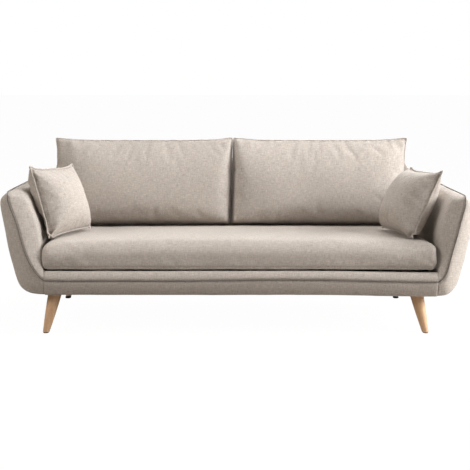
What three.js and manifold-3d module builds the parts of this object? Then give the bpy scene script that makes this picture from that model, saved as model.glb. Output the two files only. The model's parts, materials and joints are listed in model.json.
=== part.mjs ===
// Three-seat sofa with flared arms, loose cushions and splayed wooden legs.
// Millimetres. +X runs along the sofa, -Y is the front and +Z is up.
// The origin is on the floor under the middle.

import * as THREE from 'three';
import Module from 'manifold-3d';

// ---- Driving dimensions ----
const FRONT_Y = -428; // foremost line of the sofa, the face of the piping
const REAR_Y = 428; // rearmost line, the top of the leaning back
const BASE_Z = 172; // underside of the upholstered body, and the height of the legs
const ARM_TOP_FRONT = 616;
const ARM_TOP_RISE = 30; // how much higher the arm is where it meets the back
const BACK_TOP = 690;
const BACK_LEAN = 0.176; // tangent of the back's lean
const BACK_THICKNESS = 85;
const RAIL_END_X = 835; // where the front rail's cover is sewn to the arm's cover
const GAP = 0.3; // clearance between touching pieces

const PIPING_RADIUS = 4;
const PIPING_CLEARANCE = PIPING_RADIUS + 1; // from the piping's centre line to the padding it is sewn on
const RIDGE_Y = FRONT_Y + PIPING_RADIUS + PIPING_CLEARANCE; // the padded front edge behind the piping

const BOARD = 25; // thickness of the wooden rails
const FRAME_BOTTOM = BASE_Z + 3.6;
const FRAME_TOP = 266;
const FRONT_RAIL_Y = -392; // front face of the front rail
const REAR_RAIL_Y = 311; // rear face of the rear rail
const SIDE_RAIL_X = 833; // outer face of each side rail

const SPRING_COUNT = 6;
const SPRING_WIRE = 1.9; // wire radius
const DECK_Z = 272;
const SEAT_BOTTOM = 276;
const SEAT_EDGE_TOP = 394;

// ---- Materials ----
function finish(color, roughness, metalness = 0) {
  return new THREE.MeshStandardMaterial({ color, roughness, metalness });
}
const FABRIC = finish(0xb5ada4, 0.95);
const PIPING_FABRIC = finish(0x8f877e, 0.95);
const FRAME_WOOD = finish(0xc9a77c, 0.8);
const LEG_WOOD = finish(0xd9bd98, 0.5);
const STEEL = finish(0x9a9ca0, 0.35, 0.9);
const BLACK_CLOTH = finish(0x1d1c1b, 0.95);
const BLACK_PLASTIC = finish(0x161616, 0.6);

const sofa = new THREE.Group();

function addMesh(name, geometry, material, parent = sofa) {
  const mesh = new THREE.Mesh(geometry, material);
  mesh.name = name;
  parent.add(mesh);
  return mesh;
}

// ---- Shape helpers ----

// A box between two corners.
function boxBetween(low, high) {
  const size = high.map((value, axis) => value - low[axis]);
  const geometry = new THREE.BoxGeometry(...size);
  return geometry.translate(...low.map((value, axis) => value + size[axis] / 2));
}

function signedVolume(points, triangles) {
  let volume = 0;
  for (let i = 0; i < triangles.length; i += 3) {
    const [a, b, c] = [0, 1, 2].map((k) => points[triangles[i + k]]);
    volume += a.dot(new THREE.Vector3().crossVectors(b, c)) / 6;
  }
  return volume;
}

// A closed solid between two surfaces, each a function of (u, v) from 0 to 1, joined around the rim.
function slab(stepsU, stepsV, lowSurface, highSurface) {
  const points = [];
  for (const surface of [lowSurface, highSurface]) {
    for (let j = 0; j <= stepsV; j += 1) {
      for (let i = 0; i <= stepsU; i += 1) {
        points.push(surface(i / stepsU, j / stepsV));
      }
    }
  }
  const layer = (stepsU + 1) * (stepsV + 1);
  const at = (i, j, high) => high * layer + j * (stepsU + 1) + i;
  const triangles = [];
  const quad = (a, b, c, d) => triangles.push(a, b, c, a, c, d);
  for (let j = 0; j < stepsV; j += 1) {
    for (let i = 0; i < stepsU; i += 1) {
      quad(at(i, j, 0), at(i, j + 1, 0), at(i + 1, j + 1, 0), at(i + 1, j, 0));
      quad(at(i, j, 1), at(i + 1, j, 1), at(i + 1, j + 1, 1), at(i, j + 1, 1));
    }
  }
  for (let i = 0; i < stepsU; i += 1) {
    quad(at(i, 0, 0), at(i + 1, 0, 0), at(i + 1, 0, 1), at(i, 0, 1));
    quad(at(i + 1, stepsV, 0), at(i, stepsV, 0), at(i, stepsV, 1), at(i + 1, stepsV, 1));
  }
  for (let j = 0; j < stepsV; j += 1) {
    quad(at(0, j + 1, 0), at(0, j, 0), at(0, j, 1), at(0, j + 1, 1));
    quad(at(stepsU, j, 0), at(stepsU, j + 1, 0), at(stepsU, j + 1, 1), at(stepsU, j, 1));
  }
  if (signedVolume(points, triangles) < 0) {
    triangles.reverse();
  }
  const geometry = new THREE.BufferGeometry();
  const values = points.flatMap((p) => p.toArray());
  geometry.setAttribute('position', new THREE.Float32BufferAttribute(values, 3));
  geometry.setIndex(triangles);
  return geometry;
}

// A solid swept along a 3-D path with a round section.
function roundSweep(path, radius, sides, steps) {
  const section = new THREE.Shape();
  for (let k = 0; k < sides; k += 1) {
    const angle = (k / sides) * 2 * Math.PI;
    const move = k === 0 ? 'moveTo' : 'lineTo';
    section[move](radius * Math.cos(angle), radius * Math.sin(angle));
  }
  section.closePath();
  return new THREE.ExtrudeGeometry(section, { extrudePath: path, steps, bevelEnabled: false });
}

const { lerp, clamp } = THREE.MathUtils;

// ---- Booleans ----
const wasm = await Module();
wasm.setup();

function toManifold(geometry) {
  const index = new Map();
  const vertices = [];
  const triangles = [];
  const position = geometry.getAttribute('position');
  const order = geometry.index ? geometry.index.array : [...Array(position.count).keys()];
  for (const corner of order) {
    const point = [position.getX(corner), position.getY(corner), position.getZ(corner)];
    const key = point.map((value) => value.toFixed(4)).join();
    if (!index.has(key)) {
      index.set(key, vertices.length / 3);
      vertices.push(...point);
    }
    triangles.push(index.get(key));
  }
  const triVerts = [];
  for (let i = 0; i < triangles.length; i += 3) {
    const [a, b, c] = triangles.slice(i, i + 3);
    if (a !== b && b !== c && c !== a) {
      triVerts.push(a, b, c);
    }
  }
  return new wasm.Manifold(new wasm.Mesh({
    numProp: 3,
    vertProperties: new Float32Array(vertices),
    triVerts: new Uint32Array(triVerts),
  }));
}

function subtract(body, tool) {
  const cut = toManifold(body).subtract(toManifold(tool)).getMesh();
  const geometry = new THREE.BufferGeometry();
  geometry.setAttribute('position', new THREE.Float32BufferAttribute(cut.vertProperties, 3));
  geometry.setIndex([...cut.triVerts]);
  return geometry;
}

// ---- Legs ----
const LEG_TOP_RADIUS = 30;
const LEG_TIP_RADIUS = 14.5;
const LEG_SPLAY = 39 / BASE_Z; // sideways run for each millimetre of height, along X and along Y
const LEG_X = 781; // leg's top centre
const FRONT_LEG_Y = -335;
const REAR_LEG_Y = 272;
const FRONT_GLIDE = { height: 3, inset: 2.5 }; // a thin pad let in under the foot
const REAR_GLIDE = { height: 12, inset: 0.5 }; // a black cup over the end of the foot
const PLATE_HALF = 40;
const PLATE_THICKNESS = 3;
const BOLT_RADIUS = 4;
const BOLT_LOW = 128;
const BOLT_HIGH = 226;
const BLOCK_TOP = 240;
const ROUND_SIDES = 16;

const LEGS = [
  { corner: 'front_left', x: -1, y: FRONT_LEG_Y, back: -1, glide: FRONT_GLIDE },
  { corner: 'front_right', x: 1, y: FRONT_LEG_Y, back: -1, glide: FRONT_GLIDE },
  { corner: 'rear_left', x: -1, y: REAR_LEG_Y, back: 1, glide: REAR_GLIDE },
  { corner: 'rear_right', x: 1, y: REAR_LEG_Y, back: 1, glide: REAR_GLIDE },
];

// A turned piece given by [radius, height] pairs, leaning outward with its leg.
function leaningTurned(profile, leg, sides = ROUND_SIDES) {
  const geometry = new THREE.LatheGeometry(profile.map(([r, z]) => new THREE.Vector2(r, z)), sides);
  geometry.rotateX(Math.PI / 2);
  const position = geometry.getAttribute('position');
  for (let i = 0; i < position.count; i += 1) {
    const z = position.getZ(i);
    const run = (BASE_Z - z) * LEG_SPLAY;
    const x = leg.x * (LEG_X + run) + position.getX(i);
    const y = leg.y + leg.back * run + position.getY(i);
    position.setXYZ(i, x, y, z);
  }
  return geometry;
}

function leaningRod(radius, low, high, leg, sides) {
  return leaningTurned([[0, low], [radius, low], [radius, high], [0, high]], leg, sides);
}

function buildLeg(leg) {
  const top = BASE_Z - GAP;
  const low = leg.glide.height + GAP;
  const profile = [
    [0, low],
    [LEG_TIP_RADIUS - 2, low],
    [LEG_TIP_RADIUS, low + 3],
    [LEG_TOP_RADIUS - 1.5, top - 4],
    [LEG_TOP_RADIUS, top],
    [0, top],
  ];
  const bore = leaningRod(BOLT_RADIUS + 0.5, BOLT_LOW - 1, top + 10, leg, 12);
  addMesh(`leg_${leg.corner}`, subtract(leaningTurned(profile, leg), bore), LEG_WOOD);

  const glide = leaningRod(LEG_TIP_RADIUS - leg.glide.inset, 0, leg.glide.height, leg, ROUND_SIDES);
  addMesh(`leg_glide_${leg.corner}`, glide, BLACK_PLASTIC);
  addMesh(`leg_bolt_${leg.corner}`, leaningRod(BOLT_RADIUS, BOLT_LOW, BOLT_HIGH, leg, 12), STEEL);

  const hole = leaningRod(BOLT_RADIUS + 0.7, BASE_Z - 5, BLOCK_TOP + 5, leg, 12);
  const plateBottom = BASE_Z + GAP;
  const centre = leg.x * LEG_X;
  const plate = boxBetween(
    [centre - PLATE_HALF, leg.y - PLATE_HALF, plateBottom],
    [centre + PLATE_HALF, leg.y + PLATE_HALF, plateBottom + PLATE_THICKNESS],
  );
  addMesh(`leg_plate_${leg.corner}`, subtract(plate, hole), STEEL);

  // The corner block is glued into the corner of the base frame and takes the bolt.
  const outerX = SIDE_RAIL_X - BOARD - GAP;
  const railFace = leg.back < 0 ? FRONT_RAIL_Y + BOARD + GAP : REAR_RAIL_Y - BOARD - GAP;
  const inward = leg.back < 0 ? railFace + 82 : railFace - 82;
  const sides = [leg.x * outerX, leg.x * (outerX - 76)];
  const block = boxBetween(
    [Math.min(...sides), Math.min(railFace, inward), FRAME_BOTTOM],
    [Math.max(...sides), Math.max(railFace, inward), BLOCK_TOP],
  );
  addMesh(`corner_block_${leg.corner}`, subtract(block, hole), FRAME_WOOD);
}

// ---- Base frame, springs and cloths ----
function buildBaseFrame() {
  const railX = SIDE_RAIL_X - GAP;
  const innerFront = FRONT_RAIL_Y + BOARD + GAP;
  const innerRear = REAR_RAIL_Y - BOARD - GAP;
  const frontRail = boxBetween(
    [-railX, FRONT_RAIL_Y, FRAME_BOTTOM],
    [railX, FRONT_RAIL_Y + BOARD, FRAME_TOP],
  );
  addMesh('front_rail', frontRail, FRAME_WOOD);
  const rearRail = boxBetween([-railX, REAR_RAIL_Y - BOARD, FRAME_BOTTOM], [railX, REAR_RAIL_Y, FRAME_TOP]);
  addMesh('rear_rail', rearRail, FRAME_WOOD);

  const stretcherX = 280;
  const stretcherTop = 236;
  for (const [side, sign] of [['left', -1], ['right', 1]]) {
    const faces = [sign * railX, sign * (railX - BOARD)];
    const low = [Math.min(...faces), innerFront, FRAME_BOTTOM];
    addMesh(`side_rail_${side}`, boxBetween(low, [Math.max(...faces), innerRear, FRAME_TOP]), FRAME_WOOD);

    const middle = sign * stretcherX;
    const stretcher = boxBetween(
      [middle - BOARD / 2, innerFront, FRAME_BOTTOM],
      [middle + BOARD / 2, innerRear, stretcherTop],
    );
    addMesh(`stretcher_${side}`, stretcher, FRAME_WOOD);
  }
}

// A zigzag wire spring, hooked over the front and rear rails.
function buildSprings() {
  const pitch = 264;
  const loops = 9;
  const swing = 26;
  const frontEnd = FRONT_RAIL_Y + 6;
  const rearEnd = REAR_RAIL_Y - 6;
  const height = FRAME_TOP + GAP + SPRING_WIRE;
  const run = (rearEnd - frontEnd) / loops;
  for (let k = 0; k < SPRING_COUNT; k += 1) {
    const centre = (k - (SPRING_COUNT - 1) / 2) * pitch;
    const points = [new THREE.Vector3(centre, frontEnd, height)];
    for (let loop = 0; loop < loops; loop += 1) {
      const side = loop % 2 === 0 ? 1 : -1;
      const start = frontEnd + loop * run;
      points.push(new THREE.Vector3(centre + side * swing, start + run * 0.25, height));
      points.push(new THREE.Vector3(centre + side * swing, start + run * 0.75, height));
    }
    points.push(new THREE.Vector3(centre, rearEnd, height));
    const path = new THREE.CatmullRomCurve3(points);
    addMesh(`seat_spring_${k + 1}`, roundSweep(path, SPRING_WIRE, 4, loops * 4), STEEL);
  }
}

function buildCloths() {
  const deckX = 822;
  const deck = boxBetween([-deckX, FRONT_RAIL_Y + 2, DECK_Z], [deckX, 246, DECK_Z + 2.5]);
  addMesh('seat_deck', deck, BLACK_CLOTH);

  // The dust cover is stapled under the frame and is cut back at the corners, around the leg plates.
  const halfX = 828;
  const front = FRONT_RAIL_Y + 4;
  const rear = REAR_RAIL_Y - 2;
  const notchX = LEG_X - PLATE_HALF - 2;
  const notchFront = FRONT_LEG_Y + PLATE_HALF + 2;
  const notchRear = REAR_LEG_Y - PLATE_HALF - 2;
  const outline = new THREE.Shape([
    new THREE.Vector2(-notchX, front),
    new THREE.Vector2(notchX, front),
    new THREE.Vector2(notchX, notchFront),
    new THREE.Vector2(halfX, notchFront),
    new THREE.Vector2(halfX, notchRear),
    new THREE.Vector2(notchX, notchRear),
    new THREE.Vector2(notchX, rear),
    new THREE.Vector2(-notchX, rear),
    new THREE.Vector2(-notchX, notchRear),
    new THREE.Vector2(-halfX, notchRear),
    new THREE.Vector2(-halfX, notchFront),
    new THREE.Vector2(-notchX, notchFront),
  ]);
  const cover = new THREE.ExtrudeGeometry(outline, { depth: 1.5, bevelEnabled: false });
  addMesh('dust_cover', cover.translate(0, 0, BASE_Z + 1.5), BLACK_CLOTH);
}

// ---- Back ----
function backRearY(z) {
  return REAR_Y - (BACK_TOP - z) * BACK_LEAN;
}

function backInnerY(z) {
  return backRearY(z) - BACK_THICKNESS;
}

// ---- Arms ----
// Three lines run round the arm's nose, from the seam with the front rail, round the bottom corner
// and up to the arm's top: the outer edge, the ridge that carries the piping, and the inner edge.
function noseLine(points) {
  return new THREE.CatmullRomCurve3(points.map(([x, y, z]) => new THREE.Vector3(x, y, z)));
}

const OUTER_LINE = noseLine([
  [RAIL_END_X, -398, BASE_Z],
  [895, -388, 177],
  [940, -366, 210],
  [964, -350, 275],
  [985, -345, 354],
  [998, -345, 435],
  [1006, -350, 520],
  [998, -372, 582],
  [966, -412, ARM_TOP_FRONT - 4],
]);
const RIDGE_LINE = noseLine([
  [RAIL_END_X, RIDGE_Y, 239],
  [853, RIDGE_Y, 254],
  [877, RIDGE_Y, 290],
  [901, RIDGE_Y, 350],
  [919, RIDGE_Y, 418],
  [935, RIDGE_Y, 488],
  [949, RIDGE_Y, 545],
  [957, RIDGE_Y, 588],
  [957, RIDGE_Y, ARM_TOP_FRONT],
]);
const INNER_LINE = noseLine([
  [RAIL_END_X, -404, 275],
  [837, -401, 284],
  [840, -396, 300],
  [845, -387, 344],
  [845, -383, 409],
  [855, -382, 475],
  [873, -383, 540],
  [885, -384, 590],
  [892, -388, ARM_TOP_FRONT],
]);

const TOE_START_Y = -345; // behind this line the arms turn in towards the back
const TOE_OUTER = 0.108;
const TOE_INNER = 0.085;
const NOSE_DEPTH = 30;
const NOSE_GAP = 3; // between the nose pad and the layers behind it
const ARM_STEPS = 16; // facets along the section, the same in every layer so that the layers nest
const RIDGE_SHARE = 0.4; // the ridge's share of the way from the outer to the inner edge

// How far up the arm a height is, from 0 at the base frame's top to 1 at the arm's top.
function upArm(z) {
  return clamp((z - FRAME_TOP) / (ARM_TOP_FRONT - FRAME_TOP), 0, 1);
}

// Carries a point of the nose back to depth y: the arm turns in and rises towards the back.
function carryBack(point, across, y) {
  const up = upArm(point.z);
  const toe = lerp(TOE_OUTER, TOE_INNER, across) * Math.max(0, y - TOE_START_Y);
  const rise = ARM_TOP_RISE * clamp((y - FRONT_Y) / (backInnerY(point.z) - FRONT_Y), 0, 1);
  return new THREE.Vector3(point.x - toe * up, y, point.z + rise * up);
}

function betweenEdges(along, across) {
  return OUTER_LINE.getPoint(along).lerp(INNER_LINE.getPoint(along), across);
}

// A point of the nose's front surface, which passes through the ridge.
function nosePoint(along, across) {
  const ridge = RIDGE_LINE.getPoint(along);
  if (across < RIDGE_SHARE) {
    return OUTER_LINE.getPoint(along).lerp(ridge, across / RIDGE_SHARE);
  }
  return ridge.lerp(INNER_LINE.getPoint(along), (across - RIDGE_SHARE) / (1 - RIDGE_SHARE));
}

// A point inside the arm: along the section, across from outside to inside, and back from the nose pad.
function armPoint(along, across, deep) {
  const point = betweenEdges(along, across);
  const start = nosePoint(along, across).y + NOSE_DEPTH + NOSE_GAP;
  const end = backInnerY(point.z + ARM_TOP_RISE * upArm(point.z)) - 2 * GAP;
  return carryBack(point, across, lerp(start, end, deep));
}

function armLayer(along, across, stepsAlong, stepsDeep) {
  const surface = (side) => (u, v) => armPoint(lerp(...along, u), side, v);
  return slab(stepsAlong, stepsDeep, surface(across[0]), surface(across[1]));
}

function armNose() {
  const front = (u, v) => nosePoint(u, v);
  const rear = (u, v) => {
    const start = nosePoint(u, v).y + NOSE_DEPTH;
    return carryBack(betweenEdges(u, v), v, start);
  };
  return slab(ARM_STEPS, 5, front, rear);
}

// The piping's centre line: along the top outer edge from the back, then down and round the ridge.
function armPipingPath() {
  const points = [];
  const edge = OUTER_LINE.getPoint(1);
  const rearEnd = backInnerY(ARM_TOP_FRONT + ARM_TOP_RISE) - 6;
  for (const y of [rearEnd, 150, -50, -250, -380]) {
    const at = carryBack(edge, 0, y);
    points.push(at.add(new THREE.Vector3(2.2, 0, PIPING_CLEARANCE)));
  }
  const top = RIDGE_LINE.getPoint(1);
  const corner = PIPING_CLEARANCE + 2;
  points.push(new THREE.Vector3(top.x + corner, RIDGE_Y + 10, top.z + corner));
  points.push(new THREE.Vector3(top.x + 1, RIDGE_Y - corner / 2, top.z + corner));
  const stations = 15;
  const firstStation = 0.975;
  for (let k = 0; k < stations; k += 1) {
    const at = RIDGE_LINE.getPoint(firstStation * (1 - k / (stations - 1)));
    points.push(new THREE.Vector3(at.x, RIDGE_Y - PIPING_CLEARANCE, at.z));
  }
  return new THREE.CatmullRomCurve3(points);
}

function mirrored(geometry) {
  const copy = geometry.index ? geometry.toNonIndexed() : geometry.clone();
  const position = copy.getAttribute('position');
  for (let i = 0; i < position.count; i += 3) {
    const [a, b] = [i, i + 1].map((k) => [position.getX(k), position.getY(k), position.getZ(k)]);
    position.setXYZ(i, -b[0], b[1], b[2]);
    position.setXYZ(i + 1, -a[0], a[1], a[2]);
    position.setX(i + 2, -position.getX(i + 2));
  }
  return copy;
}

function buildArms() {
  const sideSteps = ARM_STEPS - 1;
  const padTop = sideSteps / ARM_STEPS; // the side layers end here and the top pad covers them
  const boardSteps = sideSteps - 1; // the board ends a step lower, with soft padding over its edge
  const parts = [
    ['arm_nose', armNose(), FABRIC],
    ['arm_outer_pad', armLayer([0, padTop], [0, 0.37], sideSteps, 5), FABRIC],
    ['arm_board', armLayer([0, boardSteps / ARM_STEPS], [0.4, 0.56], boardSteps, 3), FRAME_WOOD],
    ['arm_inner_pad', armLayer([0, padTop], [0.59, 1], sideSteps, 5), FABRIC],
    ['arm_top_pad', armLayer([padTop + 0.006, 1], [0, 1], 1, 5), FABRIC],
    ['arm_piping', roundSweep(armPipingPath(), PIPING_RADIUS, 6, 64), PIPING_FABRIC],
  ];
  for (const [name, geometry, material] of parts) {
    addMesh(`${name}_right`, geometry, material);
    addMesh(`${name}_left`, mirrored(geometry), material);
  }
}

// ---- Front rail cover ----
function buildFrontCover() {
  const back = FRONT_RAIL_Y - GAP;
  const length = 2 * (RAIL_END_X - GAP);
  const outline = new THREE.Shape([
    new THREE.Vector2(back, BASE_Z),
    new THREE.Vector2(back, 275),
    new THREE.Vector2(-404, 275),
    new THREE.Vector2(-413, 262),
    new THREE.Vector2(RIDGE_Y, 239),
    new THREE.Vector2(-415, 205),
    new THREE.Vector2(-398, BASE_Z),
  ]);
  // The section is drawn in (depth, height) and pushed along the sofa's length.
  const along = new THREE.Matrix4().makeBasis(
    new THREE.Vector3(0, 1, 0),
    new THREE.Vector3(0, 0, 1),
    new THREE.Vector3(1, 0, 0),
  );
  const cover = new THREE.ExtrudeGeometry(outline, { depth: length, bevelEnabled: false });
  addMesh('front_rail_pad', cover.translate(0, 0, -length / 2).applyMatrix4(along), FABRIC);

  const end = RAIL_END_X - 6;
  const y = RIDGE_Y - PIPING_CLEARANCE;
  const path = new THREE.LineCurve3(new THREE.Vector3(-end, y, 239), new THREE.Vector3(end, y, 239));
  addMesh('front_rail_piping', roundSweep(path, PIPING_RADIUS, 6, 8), PIPING_FABRIC);
}

// ---- Back frame and padding ----
const BACK_CORNER_X = 869;
const BACK_CORNER_RADIUS = 26;

// Half the sofa's width at the back: the arm's outer line carried back, then the back's own corner.
function backHalfWidth(z) {
  const y = backInnerY(z);
  let low = 0;
  let high = 1;
  for (let k = 0; k < 30; k += 1) {
    const middle = (low + high) / 2;
    if (carryBack(OUTER_LINE.getPoint(middle), 0, y).z < z) {
      low = middle;
    } else {
      high = middle;
    }
  }
  const armX = carryBack(OUTER_LINE.getPoint(low), 0, y).x;
  const intoCorner = clamp((z - (BACK_TOP - BACK_CORNER_RADIUS)) / BACK_CORNER_RADIUS, 0, 1);
  const cornerX = BACK_CORNER_X - BACK_CORNER_RADIUS * (1 - Math.sqrt(1 - intoCorner ** 2));
  const armTop = ARM_TOP_FRONT + ARM_TOP_RISE - 6;
  return z < armTop ? armX : Math.min(armX, cornerX);
}

// A leaning layer of the back between two heights and two depths behind its front face.
function backLayer(x, depth, height, stepsX, stepsZ) {
  const surface = (offset) => (u, v) => {
    const z = lerp(...height, v);
    const [left, right] = x(z);
    return new THREE.Vector3(lerp(left, right, u), backInnerY(z) + offset, z);
  };
  return slab(stepsX, stepsZ, surface(depth[0]), surface(depth[1]));
}

function buildBack() {
  const fullWidth = (z) => [-backHalfWidth(z), backHalfWidth(z)];
  const frame = [32, 60];
  const top = BACK_TOP - 24;
  const rail = [top - 60, top - GAP];
  const posts = [FRAME_TOP + GAP, rail[0] - GAP];
  const inset = 24; // the boards end this far inside the padding's ends
  const postWidth = 48;
  // The top rail rests on the side posts with its lower edge and is cut back above them.
  const railHalf = (z) => (z > rail[0] ? BACK_CORNER_X - inset : backHalfWidth(z) - 2 * inset);
  const acrossRail = (z) => [-railHalf(z), railHalf(z)];

  addMesh('back_inner_pad', backLayer(fullWidth, [0, 30], [FRAME_TOP + 10, BACK_TOP], 6, 10), FABRIC);
  addMesh('back_outer_pad', backLayer(fullWidth, [62, 85], [BASE_Z, BACK_TOP], 6, 12), FABRIC);
  addMesh('back_top_pad', backLayer(fullWidth, [30.3, 61.7], [top, BACK_TOP], 6, 3), FABRIC);
  addMesh('back_top_rail', backLayer(acrossRail, frame, rail, 4, 2), FRAME_WOOD);
  addMesh('back_post_centre', backLayer(() => [-20, 20], frame, posts, 1, 2), FRAME_WOOD);
  for (const [side, sign] of [['left', -1], ['right', 1]]) {
    const edges = (z) => {
      const outer = backHalfWidth(z) - inset;
      return sign < 0 ? [-outer, -outer + postWidth] : [outer - postWidth, outer];
    };
    addMesh(`back_post_${side}`, backLayer(edges, frame, posts, 1, 8), FRAME_WOOD);
  }
}

// ---- Cushions ----

// How full a cushion is at u and v, each from -1 to 1: 1 in the middle, 0 at the seams.
function fullness(u, v, sharpU, sharpV) {
  return Math.sqrt((1 - Math.abs(u) ** sharpU) * (1 - Math.abs(v) ** sharpV));
}

// A stuffed cushion standing on its lower edge: width along X, height along Z, thickness along Y.
function standingCushion(width, height, thickness, edge, footSharpness) {
  const face = (side) => (u, v) => {
    const across = 2 * u - 1;
    const up = 2 * v - 1;
    const sharpV = up < 0 ? footSharpness : 3;
    const half = edge / 2 + ((thickness - edge) / 2) * fullness(across, up, 4, sharpV);
    return new THREE.Vector3((across * width) / 2, side * half, (up * height) / 2);
  };
  return slab(12, 10, face(-1), face(1));
}

function buildSeatCushion() {
  const front = -410;
  const rear = 252;
  const frontHalf = 831;
  const rearHalf = 800;
  const crown = 12;
  const outline = (u, v, inset, z) => {
    const half = lerp(frontHalf, rearHalf, v) - inset;
    return new THREE.Vector3((2 * u - 1) * half, lerp(front + inset, rear - inset, v), z);
  };
  const roundness = 10; // the bottom and top faces are drawn in from the widest line by this much
  const low = (u, v) => outline(u, v, roundness, SEAT_BOTTOM);
  const high = (u, v) => {
    const full = fullness(2 * u - 1, 2 * v - 1, 6, 4);
    return outline(u, v, roundness * (1 - 0.9 * full), SEAT_EDGE_TOP + crown * full);
  };
  addMesh('seat_cushion', slab(14, 8, low, high), FABRIC);
}

function buildBackCushions() {
  const width = 808;
  const height = 402;
  const thickness = 170;
  const lean = THREE.MathUtils.degToRad(9.7);
  const footY = 176;
  const footZ = 410;
  const fromMiddleLine = 4; // half the gap between the two
  for (const [side, sign] of [['left', -1], ['right', 1]]) {
    const cushion = standingCushion(width, height, thickness, 14, 8);
    const position = cushion.getAttribute('position');
    for (let i = 0; i < position.count; i += 1) {
      // Each cushion is cut a little narrower at its foot, where it stands between the arms.
      const up = position.getZ(i) / height + 0.5;
      const fromMiddle = position.getX(i) + (sign * width) / 2;
      const narrowing = lerp(0.972, 1.012, up);
      position.setX(i, fromMiddle * narrowing + sign * fromMiddleLine);
    }
    const mesh = addMesh(`back_cushion_${side}`, cushion, FABRIC);
    mesh.rotation.x = -lean;
    const half = height / 2;
    mesh.position.set(0, footY + half * Math.sin(lean), footZ + half * Math.cos(lean));
  }
}

// Scatter cushions stand on the seat, lean out on the arms and face the middle of the sofa's front.
function buildPillows() {
  const width = 360;
  const height = 322;
  const thickness = 96;
  const footZ = 412;
  const footY = -172;
  const pillows = [
    { side: 'left', sign: -1, footX: 726, turn: 65, lean: 13.5 },
    { side: 'right', sign: 1, footX: 713, turn: 76, lean: 21 },
  ];
  for (const { side, sign, footX, turn, lean } of pillows) {
    const mesh = addMesh(`pillow_${side}`, standingCushion(width, height, thickness, 10, 3), FABRIC);
    const turnAngle = THREE.MathUtils.degToRad(turn);
    const leanAngle = THREE.MathUtils.degToRad(lean);
    const half = height / 2;
    const outward = half * Math.sin(leanAngle);
    mesh.rotation.order = 'ZYX';
    mesh.rotation.z = sign < 0 ? turnAngle : Math.PI - turnAngle;
    mesh.rotation.x = sign * leanAngle;
    mesh.position.set(
      sign * (footX + outward * Math.sin(turnAngle)),
      footY + outward * Math.cos(turnAngle),
      footZ + half * Math.cos(leanAngle),
    );
  }
}

for (const leg of LEGS) {
  buildLeg(leg);
}
buildBaseFrame();
buildSprings();
buildCloths();
buildArms();
buildFrontCover();
buildBack();
buildSeatCushion();
buildBackCushions();
buildPillows();

// The origin is exactly under the middle of the whole.
const whole = new THREE.Box3().setFromObject(sofa);
sofa.position.y = -(whole.min.y + whole.max.y) / 2;

export default sofa;
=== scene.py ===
"""A three-seat sofa with flared arms, loose cushions and splayed wooden legs, around its CAD frame."""
import json
import math

import bmesh
import bpy
import numpy as np
from mathutils import Matrix, Vector, noise
from mathutils.bvhtree import BVHTree
from mathutils.kdtree import KDTree


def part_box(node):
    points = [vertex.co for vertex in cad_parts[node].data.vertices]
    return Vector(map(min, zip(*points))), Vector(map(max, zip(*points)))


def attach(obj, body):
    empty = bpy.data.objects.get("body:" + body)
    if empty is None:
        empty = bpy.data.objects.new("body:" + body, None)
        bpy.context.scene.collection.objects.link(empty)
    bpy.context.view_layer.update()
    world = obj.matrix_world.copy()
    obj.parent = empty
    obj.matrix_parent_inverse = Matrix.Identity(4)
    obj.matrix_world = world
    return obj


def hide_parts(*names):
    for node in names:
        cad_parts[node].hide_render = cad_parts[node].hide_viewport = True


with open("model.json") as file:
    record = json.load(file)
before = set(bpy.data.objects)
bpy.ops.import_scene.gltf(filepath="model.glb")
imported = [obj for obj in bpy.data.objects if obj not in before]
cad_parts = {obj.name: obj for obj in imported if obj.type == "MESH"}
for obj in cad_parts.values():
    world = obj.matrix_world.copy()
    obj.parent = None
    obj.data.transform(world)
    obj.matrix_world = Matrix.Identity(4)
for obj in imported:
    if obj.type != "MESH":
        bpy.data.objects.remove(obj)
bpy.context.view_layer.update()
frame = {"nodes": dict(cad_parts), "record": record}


# ---- Places taken from the frame ----

def node_box(name):
    low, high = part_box(name)
    return Vector(low), Vector(high)


NOSE_LOW = node_box("arm_nose_right")[0]
PAD_LOW, PAD_HIGH = node_box("front_rail_pad")
BACK_HIGH = node_box("back_outer_pad")[1]
SEAT_TOP = node_box("seat_cushion")[1].z

JOINT_X = NOSE_LOW.x  # where the arm's cover meets the front rail's
RIDGE_Y = NOSE_LOW.y  # the padded front edge, behind the piping
BASE_Z = NOSE_LOW.z  # underside of the upholstery
FRAME_TOP = node_box("front_rail")[1].z
ARM_TOP = BASE_Z + 0.444  # height of the arm's top in front
BACK_LEAN = 0.176  # tangent of the back's lean
BACK_DEPTH = 0.085  # how thick the back is
ARM_RISE = 0.030  # how much higher the arm is where it meets the back
TOE_START = RIDGE_Y + 0.074  # behind this line the arms turn in towards the back
TOE_OUTER = 0.108
TOE_INNER = 0.085
PIPING_RADIUS = 0.0026
SEAM_STEP = 0.004  # between the points of a seam that the cloth is drawn in along


def clamp(value, low=0.0, high=1.0):
    return min(max(value, low), high)


def mix(a, b, share):
    return a + (b - a) * share


def smooth(value):
    value = clamp(value)
    return value * value * (3 - 2 * value)


def rising(value, start, span):
    """From 0 at start to 1 at start + span, softly."""
    return smooth((value - start) / span)


def fading(value, start, span):
    return 1 - rising(value, start, span)


def bump_at(distance, reach):
    """1 at no distance, dying away within about twice reach."""
    return math.exp(-(distance / reach) ** 2)


def noise_at(*place):
    return noise.noise(Vector(place))


def x_at_height(point_at, z, rounds):
    """Where a line that climbs as share goes from 0 to 1 passes height z."""
    low, high = 0.0, 1.0
    for _ in range(rounds):
        middle = (low + high) / 2
        if point_at(middle).z < z:
            low = middle
        else:
            high = middle
    return point_at(low).x


def back_front_y(z):
    return BACK_HIGH.y - (BACK_HIGH.z - z) * BACK_LEAN - BACK_DEPTH


# ---- Materials ----

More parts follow.
